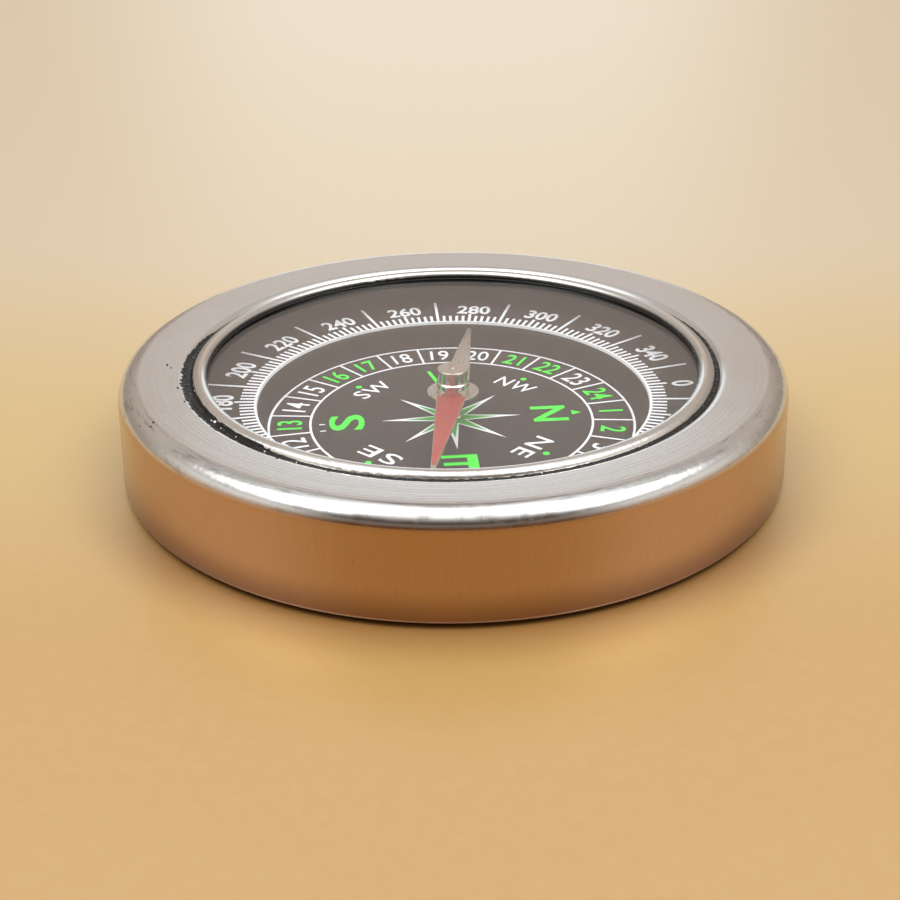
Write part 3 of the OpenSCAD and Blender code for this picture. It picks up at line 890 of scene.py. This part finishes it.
# Where the sealant's outer edge lies, as (angle in degrees, radius in mm, raggedness in mm).
seal_spread = (
    (-180, 30.4, 0.32), (-165, 30.5, 0.36), (-150, 30.6, 0.34), (-130, 30.35, 0.25), (-114, 30.1, 0.1),
    (-104, 30.4, 0.2), (-98, 29.9, 0.05), (-60, 29.9, 0.04), (-30, 29.9, 0.06), (-10, 29.9, 0.08),
    (15, 30.0, 0.1), (30, 29.85, 0.03), (130, 29.85, 0.03), (158, 29.9, 0.08), (170, 30.15, 0.22),
    (180, 30.4, 0.32))

polished, tree, shader = finish_called("polished_ring", {"Metallic": 1.0, "Roughness": 0.15})
around = round_of(tree)
lines = mottle(tree, scaled(tree, around["Turned"], (1 / ring_line_gap, 2.5, 2.5)), 1.0, 3.0)
dents = mottle(tree, place_on(tree), ring_dent_size, 4.0)
outer = between(tree, around["Radius"], bezel_out_r - 0.6 * MM, bezel_out_r - 0.2 * MM)
bright = mixed(tree, between(tree, dents, 0.55, 0.75, 0.0, 0.4), ring_bright, ring_dull)
rough = maths(tree, "ADD", between(tree, lines, 0.3, 0.7, 0.12, 0.2), product(tree, outer, 0.1))
pitted = product(tree, dents, maths(tree, "MULTIPLY_ADD", outer, 0.9, 0.1))
# The ring's inner foot is painted black and not metallic, as a painted dark reflection of its shaded flank.
painted_dark_flank = between(tree, around["Radius"], bezel_in_r + 0.36 * MM, bezel_in_r + 0.04 * MM)
give(tree, shader, {
    "Base Color": mixed(tree, painted_dark_flank, bright, painted_dark_flank_colour),
    "Metallic": maths(tree, "SUBTRACT", 1.0, painted_dark_flank), "Roughness": rough,
    "Normal": bumped(tree, pitted, ring_dent_depth, bumped(tree, lines, ring_line_depth))})
dress(polished, "crystal_bezel")

sealant, tree, shader = finish_called("black_sealant", {"Roughness": 0.4, "Specular IOR Level": 0.25})
crust = mottle(tree, place_on(tree), crust_size, 5.0)
shade = mixed(tree, crust, (0.004, 0.004, 0.004, 1), (0.02, 0.019, 0.018, 1))
give(tree, shader, {
    "Base Color": mixed(tree, settled(tree, grit_size, 0.1), shade, (0.3, 0.29, 0.27, 1)),
    "Roughness": between(tree, crust, 0.3, 0.7, 0.28, 0.55),
    "Normal": bumped(tree, crust, crust_depth)})


def spread_at(degrees):
    """The sealant's mean outer radius and its raggedness at an angle, in metres."""
    for (a, r, s), (b, q, t) in zip(seal_spread, seal_spread[1:]):
        if a <= degrees <= b:
            k = (degrees - a) / (b - a)
            k = k * k * (3 - 2 * k)
            return (r + (q - r) * k) * MM, (s + (t - s) * k) * MM


def shell_edge_z(radius):
    """Height of the shell's drawn edge at a radius between the opening and the rim."""
    along = min(max(edge_mid[0] - radius, 0), edge_round_r)
    return edge_mid[1] + math.sqrt(max(edge_round_r ** 2 - along ** 2, 0))


def rough_at(aim, pitch, x=0, y=0, z=0):
    """A noise from -1 to 1 round the bead, finer for a higher pitch."""
    return noise.noise(aim * pitch + Vector((x, y, z)))


shape = bmesh.new()
rows = []
groove_r = (bezel_out_r + opening_r) / 2
for step in range(seal_steps):
    degrees = -180 + 360 * step / seal_steps
    angle = math.radians(degrees)
    aim = Vector((math.cos(angle), math.sin(angle), 0))
    # Broad bays, smaller bites and sharp crumbs make the bead's edge ragged.
    mean_r, rag = spread_at(degrees)
    jag = rough_at(aim, 46) * 0.6 + rough_at(aim, 130, x=7) * 0.5
    jag += abs(rough_at(aim, 300, y=9)) * 0.7
    out_r = max(mean_r + rag * jag, opening_r + 0.14 * MM)
    fill = glass_top + seal_fill_h * (0.85 + 0.35 * rough_at(aim, 60))
    # The underside follows the rim out to that edge, and the lumpy upper side comes back.
    outline = [(seal_in_r, glass_top), (opening_r + seal_step, glass_top)]
    for share in (0.55, 0.78, 1.0):
        r = opening_r + (out_r - opening_r) * share
        outline.append((r, shell_edge_z(r) - film_t))
    outline.append((out_r, shell_edge_z(out_r) + 0.2 * film_t))
    for share in (0.8, 0.45, 0.15):
        r = opening_r + (out_r - opening_r) * share
        lump = film_t * (1 + 1.5 * rough_at(aim, 90, z=share * 5))
        outline.append((r, max(shell_edge_z(r), fill) + lump))
    # The bead climbs the ring, but only half as far at the front and on the right.
    low = 0.5 * min(max(-aim.y - 0.75, aim.x - 0.1, 0) * 8, 1)
    climb = min((1 + 0.25 * rough_at(aim, 25, x=3)) * (1 - low), 1)
    climb_z = glass_top + (seal_climb_z - glass_top) * climb
    bed_z = glass_top + seal_bed_h
    outline += [(groove_r, fill + seal_close * rough_at(aim, 120)),
                (bezel_out_r + seal_close, fill + seal_step),
                (seal_climb_r + 0.06 * MM, climb_z), (seal_climb_r - seal_step, climb_z - seal_step),
                (bezel_out_r - 0.3 * MM, bed_z), (seal_foot_r, bed_z),
                (seal_in_r + 0.16 * MM, glass_top + seal_bed_h * (1 + 0.4 * rough_at(aim, 70))),
                (seal_in_r, glass_top + seal_close)]
    rows.append([shape.verts.new((r * aim.x, r * aim.y, z)) for r, z in outline])
close_round(shape, rows)
squeezed = piece_called("squeezed_sealant", mesh_from(shape), sealant)
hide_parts("sealant_bed")

# Crumbs: bits of dried sealant on the rim, and bright swarf caught in the bead when the ring was
# pressed home. They are too small to matter and are left where they stuck.
# Each place is an angle in degrees, a radius in mm and a size in mm.
crumb_places = (
    (184.3, 32.2, 0.13), (185.6, 31.7, 0.09), (210.3, 35.4, 0.12), (211.4, 35.9, 0.1),
    (209.0, 36.6, 0.08), (203.0, 30.9, 0.1), (196.0, 31.0, 0.12), (236.0, 30.6, 0.1),
    (247.0, 30.5, 0.12))
swarf_places = (
    (213.5, 29.5, 0.17), (212.2, 29.6, 0.11), (207.2, 29.1, 0.14), (205.9, 29.2, 0.1),
    (216.5, 29.6, 0.09), (222.0, 29.5, 0.08), (231.0, 29.6, 0.1), (239.0, 29.6, 0.08),
    (286.5, 29.5, 0.08), (198.0, 29.3, 0.08))
lump_shape = (1.5, 0.9, 0.8, 1)
flake_size = 0.08 * MM


def lumps(places, surfaces):
    """Small knobbly lumps, each set on the highest surface at its place."""
    shape = bmesh.new()
    for degrees, radius, size in places:
        x, y = polar(radius * MM, math.radians(degrees))
        hits = [surface.ray_cast(Vector((x, y, 1)), down)[0] for surface in surfaces]
        foot = Vector((x, y, max(hit.z for hit in hits if hit)))
        turn = Matrix.Rotation(degrees * 7, 4, "Z") @ Matrix.Diagonal(lump_shape)
        made = bmesh.ops.create_icosphere(shape, subdivisions=2, radius=size * MM,
                                          matrix=Matrix.Translation(foot) @ turn)
        for corner in made["verts"]:
            corner.co += (corner.co - foot) * noise.noise(corner.co * 9000) * 0.6
    return mesh_from(shape)


swarf, tree, shader = finish_called("bright_swarf", {"Metallic": 0.6, "Roughness": 0.4})
flake = mottle(tree, place_on(tree), flake_size, 2.0)
give(tree, shader, {"Base Color": mixed(tree, flake, (0.6, 0.6, 0.6, 1), (0.9, 0.9, 0.88, 1))})
grounds = (faces_of(drawn_case), faces_of(squeezed))
piece_called("sealant_crumbs", lumps(crumb_places, grounds), sealant)
piece_called("swarf_bits", lumps(swarf_places, grounds), swarf)

# Back cover: a stamped disc of satin stainless steel whose middle is pressed down as the foot.
# The shell's wall is rolled in under it, and it is scuffed from sliding on tables.
line_l = 14 * MM
line_w = 0.2 * MM
line_depth = 0.003 * MM
scuff_size = 5 * MM

cover_steel, tree, shader = finish_called("cover_steel", {"Metallic": 1.0, "Roughness": 0.35})
where = place_on(tree)
line = mottle(tree, scaled(tree, where, (1 / line_l, 1 / line_w, 1 / line_w)), 1.0, 4.0)
scuff = mottle(tree, where, scuff_size, 6.0)
shade = mixed(tree, between(tree, scuff, 0.45, 0.75), (0.6, 0.59, 0.57, 1), steel_colour)
rough = between(tree, line, 0.3, 0.7, 0.28, 0.4)
rough = maths(tree, "ADD", rough, between(tree, scuff, 0.5, 0.8, 0.0, 0.1))
give(tree, shader, {"Base Color": shade, "Roughness": rough, "Normal": bumped(tree, line, line_depth)})
dress(cover_steel, "back_cover")

# Table: a wide sheet of pale tan card with a sheen. Its colour is painted paler towards the back as painted
# light, and darker close in front of the compass as a painted shadow. It is not part of the object.
table_half = 1.6
table_front = (0.415, 0.242, 0.064, 1)
table_middle = (0.47, 0.33, 0.13, 1)
table_back = (0.48, 0.39, 0.26, 1)
table_fibre = (0.5, 0.33, 0.15, 1)
table_painted_shadow = (0.22, 0.085, 0.018, 1)
fibre_size = 1.5 * MM
middle_y = (-45 * MM, 5 * MM)
back_y = (0.0, 80 * MM)
shade_r = (45 * MM, 37 * MM)
shade_y = (-8 * MM, -28 * MM)

sheet = bpy.data.meshes.new("table")
corners = [(x * table_half, y * table_half, 0) for x, y in ((-1, -1), (1, -1), (1, 1), (-1, 1))]
sheet.from_pydata(corners, [], [(0, 1, 2, 3)])
table = in_scene("table", sheet)
card, tree, shader = finish_called("card", {"Roughness": 0.35, "IOR": 2.4})
where = place_on(tree)
fibre = mottle(tree, where, fibre_size, 5.0)
back = parts_of(tree, where)["Y"]
# Painted light: the card's colour grows paler from the front towards the back.
shade = mixed(tree, between(tree, back, *middle_y), table_front, table_middle)
shade = mixed(tree, between(tree, back, *back_y), shade, table_back)
shade = mixed(tree, between(tree, fibre, 0.35, 0.65, 0.0, 0.1), shade, table_fibre)
# Painted shadow: the card is darker close in front of the compass.
painted_shadow_in_front = between(tree, round_of(tree)["Radius"], *shade_r, 0.0, 0.7)
painted_shadow_in_front = product(tree, painted_shadow_in_front, between(tree, back, *shade_y))
give(tree, shader, {"Base Color": mixed(tree, painted_shadow_in_front, shade, table_painted_shadow)})
sheet.materials.append(card)

# Studio: soft light from a pale room. Two wide white banks stand high on the left and the right, the
# far wall is a warm beige with a white strip at its foot, and the near side, behind the camera, is dark.
# Each direction of the room is a row of (elevation in degrees, colour).
light_peak = 6.2
lowest, highest = -10, 90
zenith = (90, (2.2, 2.18, 2.15))
key = (3.2, 3.18, 3.14)
bank = (6.2, 6.16, 6.1)
room = {
    "back": ((-10, (1.14, 1.24, 1.3)), (16.5, (1.14, 1.24, 1.3)), (18.5, (0.56, 0.46, 0.4)),
        (23, (0.7, 0.58, 0.51)), (28, (0.73, 0.63, 0.57)), (34, (0.8, 0.76, 0.72)),
        (39, (0.72, 0.68, 0.64)), (45, (0.45, 0.4, 0.37)), (51, (0.36, 0.31, 0.28)),
        (57, (0.5, 0.45, 0.42)), (64, (0.69, 0.63, 0.6)), (69, (0.9, 0.86, 0.83)),
        (74, (1.2, 1.18, 1.16)), (80, key), zenith),
    "corner": ((-10, (0.42, 0.35, 0.3)), (12, (0.42, 0.35, 0.3)), (19, (0.5, 0.42, 0.36)),
        (23, (0.55, 0.46, 0.4)), (30, (0.62, 0.54, 0.48)), (38, (0.6, 0.54, 0.5)),
        (46, (0.56, 0.53, 0.51)), (56, (0.85, 0.84, 0.83)), (66, (1.35, 1.36, 1.38)),
        (74, (2.0, 2.0, 2.0)), (80, key), zenith),
    "side": ((-10, (0.5, 0.36, 0.24)), (4, (0.66, 0.54, 0.44)), (12, (0.8, 0.72, 0.64)),
        (24, (0.96, 0.94, 0.9)), (33, (0.72, 0.71, 0.7)), (39, (1.5, 1.48, 1.46)),
        (46, (3.4, 3.38, 3.34)), (54, bank), (72, bank), (81, key), zenith),
    "near": ((-10, (0.24, 0.09, 0.025)), (6, (0.16, 0.06, 0.025)), (14, (0.22, 0.19, 0.17)),
        (22, (0.24, 0.21, 0.19)), (27, (0.11, 0.08, 0.06)), (32, (0.12, 0.09, 0.075)),
        (38, (0.2, 0.18, 0.17)), (44, (0.42, 0.39, 0.38)), (50, (0.72, 0.69, 0.67)),
        (56, (1.2, 1.18, 1.16)), (62, (1.6, 1.58, 1.55)), (70, (2.2, 2.18, 2.14)),
        (80, (3.0, 2.97, 2.93)), zenith),
}
# Going round from the back, each next wall fades in between two angles in degrees.
room_turns = (("corner", 6, 18), ("side", 55, 95), ("near", 115, 150))

world = bpy.data.worlds.new("studio")
bpy.context.scene.world = world
world.use_nodes = True
tree = world.node_tree
background = tree.nodes["Background"]
way = put(tree, "ShaderNodeTexCoord").outputs["Generated"]
way = put(tree, "ShaderNodeVectorMath", {0: way}, operation="NORMALIZE").outputs[0]
split = parts_of(tree, way)
level = scaled(tree, way, (1, 1, 0))
level = put(tree, "ShaderNodeVectorMath", {0: level}, operation="LENGTH").outputs["Value"]
# The rise is the elevation, from 0 at the lowest to 1 overhead, and the swing is the angle from the back.
rise = maths(tree, "ARCSINE", split["Z"])
rise = between(tree, rise, math.radians(lowest), math.radians(highest), way="LINEAR")
swing = maths(tree, "DIVIDE", split["Y"], maths(tree, "MAXIMUM", level, 1e-4))
swing = maths(tree, "ARCCOSINE", swing)


def wall_of_room(stops):
    """One direction of the room, as colours by elevation in degrees."""
    ramp = put(tree, "ShaderNodeValToRGB", {"Fac": rise})
    elements = ramp.color_ramp.elements
    while len(elements) > 1:
        elements.remove(elements[-1])
    for k, (degrees, colour) in enumerate(stops):
        at = (degrees - lowest) / (highest - lowest)
        spot = elements[0] if k == 0 else elements.new(at)
        spot.position = at
        spot.color = (*[c / light_peak for c in colour], 1)
    return ramp.outputs["Color"]


seen = wall_of_room(room["back"])
for name, start, end in room_turns:
    share = between(tree, swing, math.radians(start), math.radians(end))
    seen = mixed(tree, share, seen, wall_of_room(room[name]))
tree.links.new(seen, background.inputs["Color"])
background.inputs["Strength"].default_value = light_peak

# Camera: held low in front of the compass. Its place and lens were fitted to the circles
# of the case and the dial, and the picture is square.
focal_px = 1315.1
picture_px = 900
sensor_mm = 36
camera_place = (0.1 * MM, -138.7 * MM, 69.71 * MM)
look_down = math.radians(26.88)
look_right = math.radians(-0.22)
tilt = math.radians(0.72)
camera_data = bpy.data.cameras.new("camera")
camera_data.sensor_width = sensor_mm
camera_data.lens = sensor_mm * focal_px / picture_px
camera_data.clip_start = 0.01
camera_data.clip_end = 20
camera = in_scene("camera", camera_data)
camera.location = camera_place
aim = Matrix.Rotation(-look_right, 3, "Z") @ Matrix.Rotation(math.pi / 2 - look_down, 3, "X")
camera.rotation_euler = (aim @ Matrix.Rotation(-tilt, 3, "Z")).to_euler()
bpy.context.scene.camera = camera
bpy.context.scene.view_settings.view_transform = "Standard"
